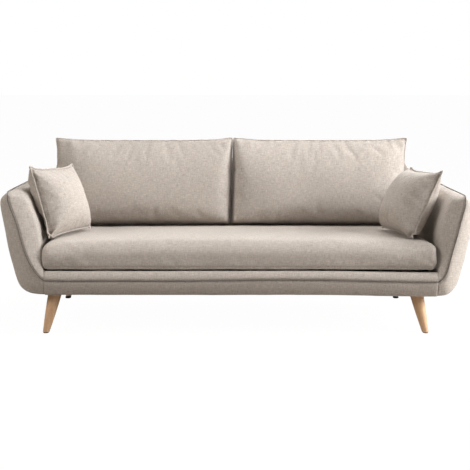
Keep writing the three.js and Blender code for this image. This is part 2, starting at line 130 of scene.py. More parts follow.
class Nodes:
    """A node tree. An input is given as a value or as the socket that it comes from."""

    def __init__(self, tree):
        self.tree = tree

    def feed(self, socket, value):
        if isinstance(value, bpy.types.NodeSocket):
            self.tree.links.new(value, socket)
        else:
            socket.default_value = value

    def add(self, kind, inputs=None, **settings):
        node = self.tree.nodes.new(kind)
        for key, value in settings.items():
            setattr(node, key, value)
        for key, value in (inputs or {}).items():
            self.feed(node.inputs[key], value)
        return node

    def ramp(self, factor, *stops):
        node = self.add("ShaderNodeValToRGB", {"Fac": factor})
        elements = node.color_ramp.elements
        while len(elements) < len(stops):
            elements.new(0.5)
        for element, (position, colour) in zip(elements, stops):
            element.position = position
            element.color = (*colour, 1)
        return node.outputs["Color"]

    def to_camera(self, others, camera):
        """One shader for the camera and another for every other ray."""
        eye = self.add("ShaderNodeLightPath").outputs["Is Camera Ray"]
        return self.add("ShaderNodeMixShader", {0: eye, 1: others, 2: camera}).outputs[0]


class Shader(Nodes):
    """A material's nodes, with a Principled shader at their end."""

    def __init__(self, name):
        self.material = bpy.data.materials.new(name)
        self.material.use_nodes = True
        super().__init__(self.material.node_tree)
        self.surface = self.tree.nodes["Principled BSDF"]

    def place(self):
        return self.add("ShaderNodeTexCoord").outputs["Object"]

    def math(self, operation, a, b=0.0):
        return self.add("ShaderNodeMath", {0: a, 1: b}, operation=operation).outputs[0]

    def plus(self, a, b):
        return self.math("ADD", a, b)

    def times(self, a, b):
        return self.math("MULTIPLY", a, b)

    def noise(self, vector, scale, detail=2.0, roughness=0.5):
        inputs = {"Vector": vector, "Scale": scale, "Detail": detail, "Roughness": roughness}
        return self.add("ShaderNodeTexNoise", inputs).outputs["Fac"]

    def stretched(self, vector, scale):
        return self.add("ShaderNodeMapping", {"Vector": vector, "Scale": scale}).outputs["Vector"]

    def tinted(self, a, b):
        """One colour multiplied by another."""
        factor, first, second, result = 0, 6, 7, 2  # the node's colour sockets, by number
        node = self.add("ShaderNodeMix", data_type="RGBA", blend_type="MULTIPLY")
        for index, value in ((factor, 1.0), (first, a), (second, b)):
            self.feed(node.inputs[index], value)
        return node.outputs[result]

    def bump(self, height, strength, distance):
        node = self.add("ShaderNodeBump", {"Height": height, "Strength": strength, "Distance": distance})
        self.feed(self.surface.inputs["Normal"], node.outputs["Normal"])

    def finish(self, colour, **values):
        self.feed(self.surface.inputs["Base Color"], colour)
        for key, value in values.items():
            self.feed(self.surface.inputs[key.replace("_", " ")], value)
        return self.material


def scaled(colour, factor):
    return tuple(clamp(channel * factor) for channel in colour)


def mix_colour(a, b, share):
    return tuple(mix(x, y, share) for x, y in zip(a, b))


def cloth_coordinates(shader):
    """Two coordinates that lie in the cloth, by which way it faces: along X or Y, and along Z or Y."""
    at = shader.add("ShaderNodeSeparateXYZ", {"Vector": shader.place()}).outputs
    normal = shader.add("ShaderNodeNewGeometry").outputs["Normal"]
    facing = shader.add("ShaderNodeSeparateXYZ", {"Vector": normal}).outputs
    size = [shader.math("ABSOLUTE", facing[axis]) for axis in range(3)]
    lying = shader.math("GREATER_THAN", size[2], 0.72)
    standing = shader.math("SUBTRACT", 1.0, lying)
    sideways = shader.times(shader.math("GREATER_THAN", size[0], size[1]), standing)
    pick = []
    for share, first, second in ((sideways, at[0], at[1]), (lying, at[2], at[1])):
        kept = shader.times(first, shader.math("SUBTRACT", 1.0, share))
        pick.append(shader.plus(kept, shader.times(second, share)))
    return pick


def woven_cloth(name, colour, contrast=1.0, pitch=0.0026):
    """A melange of light and dark yarns in a plain weave, matt with a soft sheen."""
    shader = Shader(name)
    across, along = cloth_coordinates(shader)
    flat = shader.add("ShaderNodeCombineXYZ", {"X": across, "Y": along}).outputs[0]
    turn = 2 * math.pi / pitch
    waves = [shader.math("SINE", shader.times(way, turn)) for way in (across, along)]
    fine, coarse = 270, 40  # flecks for each metre, across a yarn and along it
    weft = shader.noise(shader.stretched(flat, (coarse, fine, 1)), 1.0, 4.0, 0.7)
    warp = shader.noise(shader.stretched(flat, (fine, coarse, 1)), 1.0, 4.0, 0.7)
    yarn = shader.times(shader.plus(weft, warp), 0.5)
    place = shader.place()
    fleck = shader.noise(place, fine, 2.0, 0.8)
    drift = shader.noise(place, 3.2, 2.0, 0.5)
    tone = shader.plus(shader.times(yarn, 0.75), shader.times(fleck, 0.25))
    spread = 0.40 * contrast
    base = shader.ramp(tone, (0.34, scaled(colour, 1 - spread)), (0.5, colour),
                       (0.66, scaled(colour, 1 + spread)))
    worn = shader.ramp(drift, (0.35, (0.955, 0.955, 0.955)), (0.65, (1.0, 0.995, 0.99)))
    height = shader.plus(shader.times(shader.times(*waves), 0.35), shader.times(tone, 1.3))
    shader.bump(height, 0.5, 0.0009)
    return shader.finish(shader.tinted(base, worn), Roughness=0.92, Sheen_Weight=0.28, Sheen_Roughness=0.45,
                         Sheen_Tint=(1.0, 0.97, 0.93, 1), Specular_IOR_Level=0.18)


def grained_wood(name, light, dark, roughness, ring=26.0):
    """Straight-grained wood: broad growth bands, fine fibres and short dark pores along Z."""
    shader = Shader(name)
    place = shader.place()
    bands = shader.noise(shader.stretched(place, (ring, ring, 1.6)), 1.0, 3.0, 0.6)
    fibres = shader.noise(shader.stretched(place, (900, 900, 14)), 1.0, 3.0, 0.7)
    pores = shader.noise(shader.stretched(place, (520, 520, 26)), 1.0, 2.0, 0.5)
    tone = shader.plus(shader.times(bands, 0.65), shader.times(fibres, 0.35))
    base = shader.ramp(tone, (0.36, dark), (0.52, mix_colour(light, dark, 0.35)), (0.66, light))
    flecks = shader.ramp(pores, (0.30, (0.80, 0.76, 0.72)), (0.38, (1.0, 1.0, 1.0)))
    sheen = shader.plus(shader.times(fibres, 0.18), roughness - 0.09)
    shader.bump(shader.plus(fibres, shader.times(pores, 0.5)), 0.25, 0.0004)
    return shader.finish(shader.tinted(base, flecks), Roughness=sheen, Specular_IOR_Level=0.35)


def brushed_steel(name):
    shader = Shader(name)
    lines = shader.noise(shader.stretched(shader.place(), (900, 60, 900)), 1.0, 2.0, 0.6)
    shade = shader.ramp(lines, (0.3, (0.42, 0.43, 0.45)), (0.7, (0.66, 0.67, 0.69)))
    shader.bump(lines, 0.15, 0.0003)
    return shader.finish(shade, Roughness=shader.plus(shader.times(lines, 0.25), 0.25), Metallic=0.95)


def speckled(name, colour, scale, roughness, depth):
    """Non-woven cloth or moulded plastic: one colour with a fine grain."""
    shader = Shader(name)
    grain = shader.noise(shader.place(), scale, 3.0, 0.6)
    shade = shader.ramp(grain, (0.3, scaled(colour, 0.75)), (0.7, scaled(colour, 1.3)))
    shader.bump(grain, 0.4, depth)
    return shader.finish(shade, Roughness=roughness, Specular_IOR_Level=0.3)


CLOTH_COLOUR = (0.50, 0.447, 0.402)
MATERIALS = {
    "upholstery": woven_cloth("upholstery_cloth", CLOTH_COLOUR),
    "cushion_fabric": woven_cloth("cushion_cloth", CLOTH_COLOUR),
    # The piping's cloth is darkened: partly a darker cord, partly painted shade of the shadowed groove along
    # the seam.
    "piping": woven_cloth("piping_cloth_with_painted_shade", scaled(CLOTH_COLOUR, 0.42), 0.6, 0.0018),
    "frame_wood": grained_wood("frame_pine", (0.66, 0.50, 0.32), (0.50, 0.34, 0.19), 0.75),
    "leg_wood": grained_wood("leg_oak", (0.80, 0.53, 0.33), (0.61, 0.36, 0.19), 0.5),
    "steel": brushed_steel("zinc_plated_steel"),
    "black_cloth": speckled("dust_cloth", (0.030, 0.030, 0.031), 900, 0.95, 0.0006),
    "black_plastic": speckled("glide_plastic", (0.020, 0.020, 0.021), 1400, 0.55, 0.0002),
}


def dress_cad_nodes():
    """Every CAD node gets the finish of its own slot."""
    for part in frame["record"]["subparts"]:
        node = frame["nodes"][part["node"]]
        node.data.materials.clear()
        node.data.materials.append(MATERIALS[part["material_slot"]])


# ---- Mesh helpers ----

def new_piece(name, points, faces, slot, body="root"):
    mesh = bpy.data.meshes.new(name)
    mesh.from_pydata([tuple(p) for p in points], [], [tuple(f) for f in faces])
    piece = bpy.data.objects.new(name, mesh)
    bpy.context.scene.collection.objects.link(piece)
    tool = bmesh.new()
    tool.from_mesh(mesh)
    bmesh.ops.recalc_face_normals(tool, faces=tool.faces)
    if tool.calc_volume(signed=True) < 0:
        bmesh.ops.reverse_faces(tool, faces=tool.faces)
    tool.to_mesh(mesh)
    tool.free()
    mesh.materials.append(MATERIALS[slot])
    mesh.shade_smooth()
    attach(piece, body)
    return piece


def spline(points, share):
    """A point on the smooth curve through points, share from 0 at the first to 1 at the last."""
    at = clamp(share) * (len(points) - 1)
    index = min(int(at), len(points) - 2)
    t = at - index
    p1, p2 = points[index], points[index + 1]
    p0 = points[index - 1] if index else p1 * 2 - p2
    p3 = points[index + 2] if index + 2 < len(points) else p2 * 2 - p1
    return 0.5 * (2 * p1 + (p2 - p0) * t + (2 * p0 - 5 * p1 + 4 * p2 - p3) * t ** 2
                  + (3 * p1 - p0 - 3 * p2 + p3) * t ** 3)


def resampled(points, step):
    """Points at even steps along a polyline."""
    lengths = [0.0]
    for a, b in zip(points, points[1:]):
        lengths.append(lengths[-1] + (b - a).length)
    count = max(2, round(lengths[-1] / step))
    result = []
    index = 0
    for k in range(count + 1):
        want = lengths[-1] * k / count
        while index < len(points) - 2 and lengths[index + 1] < want:
            index += 1
        span = max(lengths[index + 1] - lengths[index], 1e-9)
        result.append(points[index].lerp(points[index + 1], clamp((want - lengths[index]) / span)))
    return result


def between(one, two):
    """Quads between two lines of points' indices."""
    return list(zip(one, one[1:], two[1:], two))


def swept_faces(count, size, closed=False):
    """Quads between count rings of points, and a face at each end unless the sweep is closed."""
    faces = []
    for k in range(count if closed else count - 1):
        here, there = k * size, ((k + 1) % count) * size
        for turn in range(size):
            after = (turn + 1) % size
            faces.append((here + turn, here + after, there + after, there + turn))
    if not closed:
        faces.append(tuple(range(size)))
        faces.append(tuple(reversed(range((count - 1) * size, count * size))))
    return faces


def tube(name, path, radius, slot, body="root", sides=10, closed=False):
    """A round cord along a path, closed at both ends or joined into a ring."""
    points = []
    count = len(path)
    up = Vector((0.3, 0.5, 0.8))
    for k, centre in enumerate(path):
        ahead = path[(k + 1) % count] if closed or k + 1 < count else centre
        behind = path[k - 1] if closed or k else centre
        along = (ahead - behind).normalized()
        side = along.cross(up).normalized()
        up = side.cross(along)
        for turn in range(sides):
            angle = 2 * math.pi * turn / sides
            points.append(centre + radius * (math.cos(angle) * side + math.sin(angle) * up))
    return new_piece(name, points, swept_faces(count, sides, closed), slot, body)


def subdivide(piece, levels):
    """Smooths the piece's cage by subdivision, for good."""
    modifier = piece.modifiers.new("smooth", "SUBSURF")
    modifier.levels = levels
    modifier.render_levels = levels
    view = bpy.context.evaluated_depsgraph_get()
    smoothed = bpy.data.meshes.new_from_object(piece.evaluated_get(view))
    piece.modifiers.clear()
    piece.data = smoothed
    smoothed.shade_smooth()


def crease(line, sharpness):
    """The edges of a line of points' indices, with how sharp they are."""
    return {frozenset(pair): sharpness for pair in zip(line, line[1:])}


def set_creases(piece, creased):
    """Sharpens the edges whose two ends' indices are in creased, a dict of pair to sharpness."""
    layer = piece.data.attributes.new("crease_edge", "FLOAT", "EDGE")
    for edge in piece.data.edges:
        layer.data[edge.index].value = creased.get(frozenset(edge.vertices), 0.0)


def vertex_values(mesh, what):
    values = np.empty(len(mesh.vertices) * 3, np.float32)
    mesh.vertices.foreach_get(what, values)
    return values.reshape(-1, 3).astype(float)


def coordinates(piece):
    return vertex_values(piece.data, "co")


def normals(piece):
    return vertex_values(piece.data, "normal")


def set_coordinates(piece, values):
    piece.data.vertices.foreach_set("co", values.astype(np.float32).ravel())
    piece.data.update()


def path_tree(path):
    """The points of a path, to be searched for the nearest."""
    tree = KDTree(len(path))
    for index, point in enumerate(path):
        tree.insert(point, index)
    tree.balance()
    return tree


def displace(piece, rise):
    """Moves every vertex along its normal by rise(point, normal)."""
    places, facing = coordinates(piece), normals(piece)
    shift = np.array([rise(Vector(place), normal) for place, normal in zip(places, facing)])
    set_coordinates(piece, places + facing * shift[:, None])


def tailor(piece, seams, seed, groove=0.0022, pucker=0.0008, swell=0.0012):
    """Draws the cloth in along its seams, puckers it beside them and lets the padding vary a little."""
    tree = path_tree([point for seam in seams for point in resampled(seam, SEAM_STEP)])
    groove_width, pucker_reach = 0.007, 0.022
    offset = Vector((seed * 3.7, seed * 1.3, seed * 2.9))

    def rise(point, _):
        # Where the rail's cover meets the arms', both stay as they are, so that they keep meeting.
        from_joint = smooth(abs(abs(point.x) - JOINT_X) / 0.05 + rising(point.z, FRAME_TOP + 0.02, 0.02))
        padding = noise.noise(point * 7 + offset) + 0.35 * noise.noise(point * 23 + offset)
        _, nearest, distance = tree.find(point)
        fold = noise_at(nearest * 0.16, seed, distance * 30)
        fold += 0.6 * noise_at(nearest * 0.41, seed + 9, distance * 18)
        drawn_in = groove * bump_at(distance, groove_width)
        return from_joint * swell * padding - drawn_in + pucker * fold * math.exp(-distance / pucker_reach)

    displace(piece, rise)


# ---- The arms ----
# Offsets from the foot of the arm's nose, where it meets the front rail, in metres.

def nose_line(offsets):
    corner = Vector((JOINT_X, RIDGE_Y, BASE_Z))
    return [corner + Vector(offset) for offset in offsets]


OUTER_LINE = nose_line([
    (0, 0.021, 0), (0.062, 0.030, 0.004), (0.107, 0.052, 0.037), (0.130, 0.069, 0.103),
    (0.151, 0.074, 0.182), (0.164, 0.074, 0.263), (0.172, 0.069, 0.348), (0.167, 0.048, 0.405),
    (0.136, 0.020, 0.436),
])
RIDGE_LINE = nose_line([
    (0, 0, 0.067), (0.020, 0, 0.083), (0.043, 0, 0.118), (0.066, 0, 0.178), (0.084, 0, 0.246),
    (0.100, 0, 0.316), (0.115, 0, 0.369), (0.125, 0.001, 0.408), (0.124, 0.010, 0.435),
])
INNER_LINE = nose_line([
    (0, 0.015, 0.103), (0.002, 0.018, 0.112), (0.005, 0.024, 0.128), (0.010, 0.037, 0.172),
    (0.010, 0.045, 0.237), (0.020, 0.046, 0.303), (0.038, 0.045, 0.360), (0.050, 0.043, 0.398),
    (0.066, 0.042, 0.425),
])
INNER_EXTRA = {-1: 0.0, 1: 0.013}  # the right arm is a little thinner from its inner side
ARM_ROWS = 16
ARM_DEPTHS = (1.0, 0.8, 0.55, 0.3, 0.13, 0.04)  # shares of the way from the nose to the back
BAND_SHARES = (0.16, 0.5, 0.84)  # places across a padded band
INNER_BULGE = 0.007
OUTER_BULGE = 0.008
TOP_BULGE = 0.009


def carry_back(point, toe, y):
    """The point of the nose carried back to depth y, where the arm has turned in and risen."""
    up = clamp((point.z - FRAME_TOP) / (ARM_TOP - FRAME_TOP))
    inward = toe * max(0.0, y - TOE_START)
    rise = ARM_RISE * clamp((y - RIDGE_Y) / (back_front_y(point.z) - RIDGE_Y))
    return Vector((point.x - inward * up, y, point.z + rise * up))


def depth_at(point, share):
    up = clamp((point.z - FRAME_TOP) / (ARM_TOP - FRAME_TOP))
    return mix(point.y, back_front_y(point.z + ARM_RISE * up), share)


def bulged(start, end, amount, out):
    """Points across a padded band: flat in its middle, quickly round at its edges."""
    full = [amount * (1 - abs(2 * share - 1) ** 3) for share in BAND_SHARES]
    return [start.lerp(end, share) + out * height for share, height in zip(BAND_SHARES, full)]


def inner_at(share, sign):
    """The nose's inner edge on one side of the sofa."""
    point = spline(INNER_LINE, share)
    return point + Vector((INNER_EXTRA[sign] * rising(point.z, INNER_LINE[0].z, 0.06), 0, 0))


def arm_row(share, sign):
    """One ring of the arm from the back of its inner side, round the nose, to the back of its outer side."""
    inner, ridge, outer = inner_at(share, sign), spline(RIDGE_LINE, share), spline(OUTER_LINE, share)
    row = [carry_back(inner, TOE_INNER, depth_at(inner, depth)) for depth in ARM_DEPTHS]
    row.append(inner)
    row += bulged(inner, ridge, INNER_BULGE, Vector((0, -1, 0)))
    row.append(ridge)
    across = outer - ridge
    along = spline(RIDGE_LINE, share + 0.02) - spline(RIDGE_LINE, share - 0.02)
    out = across.cross(along).normalized()
    if out.y > 0:
        out.negate()
    row += bulged(ridge, outer, OUTER_BULGE * smooth(across.length / 0.05), out)
    row.append(outer)
    row += [carry_back(outer, TOE_OUTER, depth_at(outer, depth)) for depth in reversed(ARM_DEPTHS)]
    return row


SETTLED_DEPTH = 0.45  # how far back from the front the covers have moved
SETTLED_ASIDE = 0.0085  # how far right they have moved low in front
JOINT_ASIDE = (0.009, 0.016)  # and near the left and the right joint with the rail
RIGHT_DROP = 0.007  # how much lower the base is at its right end
RIGHT_ARM_DROP = 0.016  # how much lower the right arm is in front


def settle(point, sign):
    """Where the sewn covers have settled: low in front they sit a little to the right, and lower there."""
    rise = point.z - BASE_Z
    front = fading(point.y, RIDGE_Y, SETTLED_DEPTH)
    base = fading(rise, 0.08, 0.15)
    joint = fading(abs(point.x), JOINT_X + 0.020, 0.07) * base
    across = rising(abs(point.x), 0.35, 0.45) * front
    aside = SETTLED_ASIDE * fading(rise, 0.27, 0.16) + JOINT_ASIDE[sign > 0] * joint
    shift = Vector((across * aside, 0, 0))
    if sign > 0:
        high = rising(rise, 0.25, 0.16) * fading(point.y, -0.15, SETTLED_DEPTH)
        shift.z = -RIGHT_DROP * across * base - RIGHT_ARM_DROP * high
    return point + shift


def on_side(point, sign):
    """A point of the right half put on one side of the sofa, where its cover has settled."""
    return settle(Vector((sign * point.x, point.y, point.z)), sign)


def build_arm(side, sign):
    """The arm's cover: one closed cage, creased where the piping is sewn in, then smoothed."""
    rows = [arm_row(k / ARM_ROWS, sign) for k in range(ARM_ROWS + 1)]
    points = [point for row in rows for point in row]
    width, deep = len(rows[0]), len(ARM_DEPTHS)
    ridge = deep + len(BAND_SHARES) + 1
    lines = [list(range(i * width, (i + 1) * width)) for i in range(ARM_ROWS + 1)]
    joint, top = lines[0], lines[-1]
    faces = []
    for one, two in zip(lines, lines[1:]):
        faces += between(one, two)
    # The top: strips across from the inner to the outer edge, one at each depth.
    strips = []
    for k in range(deep):
        first = len(points)
        points += bulged(points[top[k]], points[top[-1 - k]], TOP_BULGE, Vector((0, 0, 1)))
        strips.append([top[k], *range(first, len(points)), top[-1 - k]])
    for one, two in zip(strips, strips[1:]):
        faces += between(one, two)
    front, near = top[deep:ridge + 1], strips[-1]
    faces += between(near[:-1], front[:-1])
    faces.append((near[-2], near[-1], *reversed(top[ridge:-deep]), front[-2]))
    # The ends: the joint with the rail and the joint with the back.
    for k in range(deep):
        faces.append((joint[k], joint[k + 1], joint[-2 - k], joint[-1 - k]))
    faces.append(tuple(joint[deep:-deep]))
    for one, two in zip(lines, lines[1:]):
        faces.append((one[0], two[0], two[-1], one[-1]))
    faces.append(tuple(strips[0]))

    piped, at_back, at_rail = 0.9, 0.7, 1.0
    creased = crease([line[ridge] for line in lines], piped)
    for k in (0, -1):
        creased |= crease([line[k] for line in lines], at_back)
    creased |= crease(top[ridge:], piped)
    creased |= crease(joint, at_rail)
    creased |= crease(strips[0], at_back)

    arm = new_piece(f"arm_cover_{side}", [on_side(point, sign) for point in points], faces, "upholstery")
    set_creases(arm, creased)
    subdivide(arm, 3)
    path = seated(piping_path(sign), arm)
    mitre = [on_side(point, sign) for point in (INNER_LINE[0], RIDGE_LINE[1])]
    tailor(arm, [path, mitre], 5 + sign)
    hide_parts(*(f"arm_{part}_{side}" for part in ("nose", "outer_pad", "inner_pad", "top_pad")))

    welt = tube(f"arm_welt_{side}", resampled(path, 0.006), PIPING_RADIUS, "piping")
    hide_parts(f"arm_piping_{side}")


def seated(path, cover):
    """The path laid on a cover's surface."""
    mesh = cover.data
    surface = BVHTree.FromPolygons([v.co for v in mesh.vertices], [face.vertices for face in mesh.polygons])
    proud, rounds = 0.0012, 3
    laid = []
    for point in path:
        place, normal, _, _ = surface.find_nearest(point)
        laid.append(place + normal * proud)
    for _ in range(rounds):
        laid = [laid[0]] + [(a + b + c) / 3 for a, b, c in zip(laid, laid[1:], laid[2:])] + [laid[-1]]
    return laid


def piping_path(sign):
    """Along the arm's top outer edge from the back, round the corner and down the ridge to the rail."""
    edge = spline(OUTER_LINE, 1)
    points = []
    for depth in (0.995, 0.8, 0.6, 0.4, 0.2, 0.08):
        points.append(carry_back(edge, TOE_OUTER, depth_at(edge, depth)) + Vector((0.0006, 0, 0.0022)))
    ridge_top = spline(RIDGE_LINE, 1)
    points.append(ridge_top + Vector((0.0035, 0.0030, 0.0020)))
    points.append(ridge_top + Vector((0.0020, -0.0016, -0.005)))
    stations = 22
    for k in range(1, stations + 1):
        point = spline(RIDGE_LINE, 1 - k / stations)
        points.append(point + Vector((0, -0.0024, 0)))
    fine = [spline(points, k / 400) for k in range(401)]
    return [on_side(point, sign) for point in fine]


# ---- The front rail ----

def rail_wave(x):
    """The slight wander of the hand-sewn line along the rail."""
    ends = smooth((JOINT_X - abs(x)) / 0.12)
    return ends * (0.0026 * math.sin(3.1 * x + 0.6) + 0.0012 * math.sin(8.3 * x))


def build_front_rail():
    """The rail's cover: the arms' own profile at the joint, drawn from one arm to the other."""
    bottom, top, rear = PAD_LOW.z, PAD_HIGH.z + 0.001, PAD_HIGH.y
    ridge_z = RIDGE_LINE[0].z
    row = arm_row(0, 1)[len(ARM_DEPTHS):-len(ARM_DEPTHS)]
    profile = [(rear, bottom), (mix(rear, OUTER_LINE[0].y, 0.6), bottom)]
    profile += [(point.y, point.z) for point in reversed(row)]
    profile += [(mix(INNER_LINE[0].y, rear, 0.4), top), (rear, top)]
    outline = [Vector((0, y, z)) for y, z in profile]
    fine = 3 * (len(outline) - 1)
    dense = [spline(outline, k / fine) for k in range(fine + 1)]
    step, gap = 0.009, 0.0002
    half = JOINT_X - gap
    count = round(2 * half / step)
    points = []
    for k in range(count + 1):
        x = mix(-half, half, k / count)
        recess = (0.0013 if x > 0 else 0.0003) * smooth(1 - (half - abs(x)) / 0.012)
        for point in dense:
            inward = recess if point.y < rear - 0.004 else 0
            wave = bump_at(point.z - ridge_z, 0.03) * rail_wave(x)
            points.append(settle(Vector((x, point.y + inward, point.z + wave)), x))
    rail = new_piece("front_rail_cover", points, swept_faces(count + 1, len(dense)), "upholstery")
    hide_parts("front_rail_pad")
    path = []
    for k in range(301):
        x = mix(-JOINT_X, JOINT_X, k / 300)
        path.append(settle(Vector((x, RIDGE_Y - 0.0020, ridge_z + rail_wave(x))), x))
    tailor(rail, [path], 3, groove=0.0006, pucker=0.0006, swell=0.0010)
    welt = tube("front_rail_welt", resampled(path, 0.008), PIPING_RADIUS, "piping")
    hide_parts("front_rail_piping")


# ---- The back ----

def back_half_width(z):
    """Half the width at the back: the arm's outer line carried back, then the back's own rounded corner."""
    y = back_front_y(z)
    arm = x_at_height(lambda share: carry_back(spline(OUTER_LINE, share), TOE_OUTER, y), z, 24)
    top_x = node_box("back_top_pad")[1].x
    corner = 0.034
    into = clamp((z - (BACK_HIGH.z - corner)) / corner)
    corner_x = top_x - corner * (1 - math.sqrt(max(0.0, 1 - into ** 2)))
    return mix(arm, min(arm, corner_x), rising(z, ARM_TOP + ARM_RISE - 0.024, 0.020))


def build_back():
    heights = [BASE_Z, 0.20, 0.25, 0.30, 0.36, 0.42, 0.48, 0.54, 0.59, 0.625, 0.645, 0.662, 0.676, 0.684,
               BACK_HIGH.z]
    columns = [-1, -0.985, -0.93, -0.8, -0.6, -0.4, -0.2, 0, 0.2, 0.4, 0.6, 0.8, 0.93, 0.985, 1]
    depths = (0.0, 0.35, 0.75, 1.0)
    wide, tall, deep = len(columns) - 1, len(heights) - 1, len(depths) - 1
    rear_puff = 0.0018
    narrower_right = 0.012  # how much the back's right top corner stands in
    points, index, faces = [], {}, []

    def point_at(column, height, depth):
        z = heights[height]
        half = back_half_width(z)
        share = columns[column]
        if share > 0:
            half -= narrower_right * rising(z, ARM_TOP + 0.02, 0.04)
        along = (z - BASE_Z) / (BACK_HIGH.z - BASE_Z)
        y = back_front_y(z) + depth * BACK_DEPTH
        if depth == 1.0:
            y += rear_puff * (1 - abs(share) ** 4) * (1 - abs(2 * along - 1) ** 4)
        return Vector((share * half, y, z))

    def vertex(column, height, depth):
        key = (column, height, depth)
        if key not in index:
            index[key] = len(points)
            points.append(point_at(column, height, depths[depth]))
        return index[key]

    def add_face(*corners):
        faces.append([vertex(*corner) for corner in corners])

    for d in (0, deep):
        for i in range(wide):
            for j in range(tall):
                add_face((i, j, d), (i + 1, j, d), (i + 1, j + 1, d), (i, j + 1, d))
    for d in range(deep):
        for i in range(wide):
            for j in (0, tall):
                add_face((i, j, d), (i + 1, j, d), (i + 1, j, d + 1), (i, j, d + 1))
        for j in range(tall):
            for i in (0, wide):
                add_face((i, j, d), (i, j + 1, d), (i, j + 1, d + 1), (i, j, d + 1))
    border = [(0, j) for j in range(tall + 1)] + [(i, tall) for i in range(1, wide + 1)]
    border += [(wide, j) for j in range(tall - 1, -1, -1)]
    piped, padded = 0.8, 0.35
    creased = crease([vertex(*at, deep) for at in border], piped)
    creased |= crease([vertex(*at, 0) for at in border], padded)
    for d in (0, deep):
        creased |= crease([vertex(i, 0, d) for i in range(wide + 1)], piped)
    path = [point_at(*at, 1.0) + Vector((0, 0.0016, 0)) for at in border]
    back = new_piece("back_cover", points, faces, "upholstery")
    set_creases(back, creased)
    subdivide(back, 3)
    fine = seated([spline(path, k / 500) for k in range(501)], back)
    tailor(back, [fine], 11, swell=0.0016)
    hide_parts("back_inner_pad", "back_outer_pad", "back_top_pad")
    tube("back_welt", resampled(fine, 0.008), PIPING_RADIUS, "piping")


# ---- Cushions ----

def inflate(piece, pressure, frames, cap, slack, held, bending=0.5, tension=15.0):
    """Blows the piece up as cloth without gravity: held points stay, and no point moves further than cap."""
    scene = bpy.context.scene
    start = coordinates(piece)
    group = piece.vertex_groups.new(name="held")
    group.add(list(held), 1.0, "REPLACE")
    cloth = piece.modifiers.new("Cloth", "CLOTH")
    values = {
        "quality": 6, "mass": 0.25, "air_damping": 3.0, "use_pressure": True, "pin_stiffness": 1.0,
        "tension_stiffness": tension, "compression_stiffness": tension, "shear_stiffness": 5.0,
        "bending_stiffness": bending, "uniform_pressure_force": pressure, "shrink_min": -slack,
        "vertex_group_mass": "held",
    }
    for key, value in values.items():
        setattr(cloth.settings, key, value)
    cloth.settings.effector_weights.gravity = 0
    cloth.point_cache.frame_end = frames + 1
    for number in range(1, frames + 1):
        scene.frame_set(number)
    view = bpy.context.evaluated_depsgraph_get()
    moved = vertex_values(piece.evaluated_get(view).to_mesh(), "co") - start
    piece.modifiers.clear()
    piece.vertex_groups.clear()
    scene.frame_set(1)
    length = np.linalg.norm(moved, axis=1, keepdims=True)
    limited = cap * np.tanh(length / cap)
    set_coordinates(piece, start + moved * limited / np.maximum(length, 1e-9))


def swell_at(u, v, fullness):
    """How full a cushion is, from 0 at its sewn edge to 1.

    fullness is how square the left side, the right side, the top and the foot are, and the fullest height.
    """
    left, right, top, foot, fullest = fullness
    across = (1 - abs(u) ** (left if u < 0 else right)) ** 0.6
    if v > fullest:
        return across * (1 - ((v - fullest) / (1 - fullest)) ** top) ** 0.65
    return across * (1 - ((fullest - v) / (1 + fullest)) ** foot) ** 0.6


def round_corner(x, z, half_width, half_height, radius):
    """A point of a rectangle moved so that the rectangle's corners become round."""
    over_x, over_z = abs(x) - (half_width - radius), abs(z) - (half_height - radius)
    if over_x <= 0 or over_z <= 0:
        return x, z
    scale = 1 - max(over_x, over_z) / math.hypot(over_x, over_z)
    return x - math.copysign(over_x * scale, x), z - math.copysign(over_z * scale, z)


def knife_edge(name, body, size, loft, spacing, pull, ears, fullness, seed, corner):
    """Two panels sewn together round their edge, standing in the XZ plane, with rounded corners.

    pull draws the left and right sides in between the corners, and ears the top and bottom edges.
    """
    width, height = size
    wide, tall = round(width / spacing), round(height / spacing)
    points, index = [], {}
    for side in (0, 1):
        for j in range(tall + 1):
            for i in range(wide + 1):
                if side and (i in (0, wide) or j in (0, tall)):
                    index[side, i, j] = index[0, i, j]
                    continue
                u, v = 2 * i / wide - 1, 2 * j / tall - 1
                flat_x, flat_z = round_corner(u * width / 2, v * height / 2, width / 2, height / 2, corner)
                x = flat_x * (1 - pull[u > 0] * (1 - abs(v) ** 4))
                z = flat_z * (1 - (ears[0] if v > 0 else ears[1]) * (1 - abs(u) ** 5))
                slack = 0.04 * noise.noise(Vector((x * 6, seed + side * 5, z * 6)))
                y = loft[side] * swell_at(u, v, fullness[side]) * (1 + slack) * (1 if side else -1)
                index[side, i, j] = len(points)
                points.append(Vector((x, y, z)))
    faces = []
    for side in (0, 1):
        lines = [[index[side, i, j] for i in range(wide + 1)] for j in range(tall + 1)]
        for one, two in zip(lines, lines[1:]):
            faces += between(one, two)
    piece = new_piece(name, points, faces, "cushion_fabric", body)
    ring = [index[0, i, 0] for i in range(wide)] + [index[0, wide, j] for j in range(tall)]
    ring += [index[0, i, tall] for i in range(wide, 0, -1)] + [index[0, 0, j] for j in range(tall, 0, -1)]
    return piece, ring


def finish_knife_edge(piece, ring, name, body, seed, cord, pucker, dip):
    """Smooths the cushion, keeps its sewn edge sharp, gathers the cloth beside it, adds the cord."""
    set_creases(piece, crease(ring + ring[:1], 1.0))
    places = coordinates(piece)
    path = [Vector(places[index]) for index in ring]
    subdivide(piece, 1)
    gather(piece, path, seed, pucker, dip)
    tube(name, resampled(path + path[:1], 0.006)[:-1], cord, "cushion_fabric", body, sides=8, closed=True)


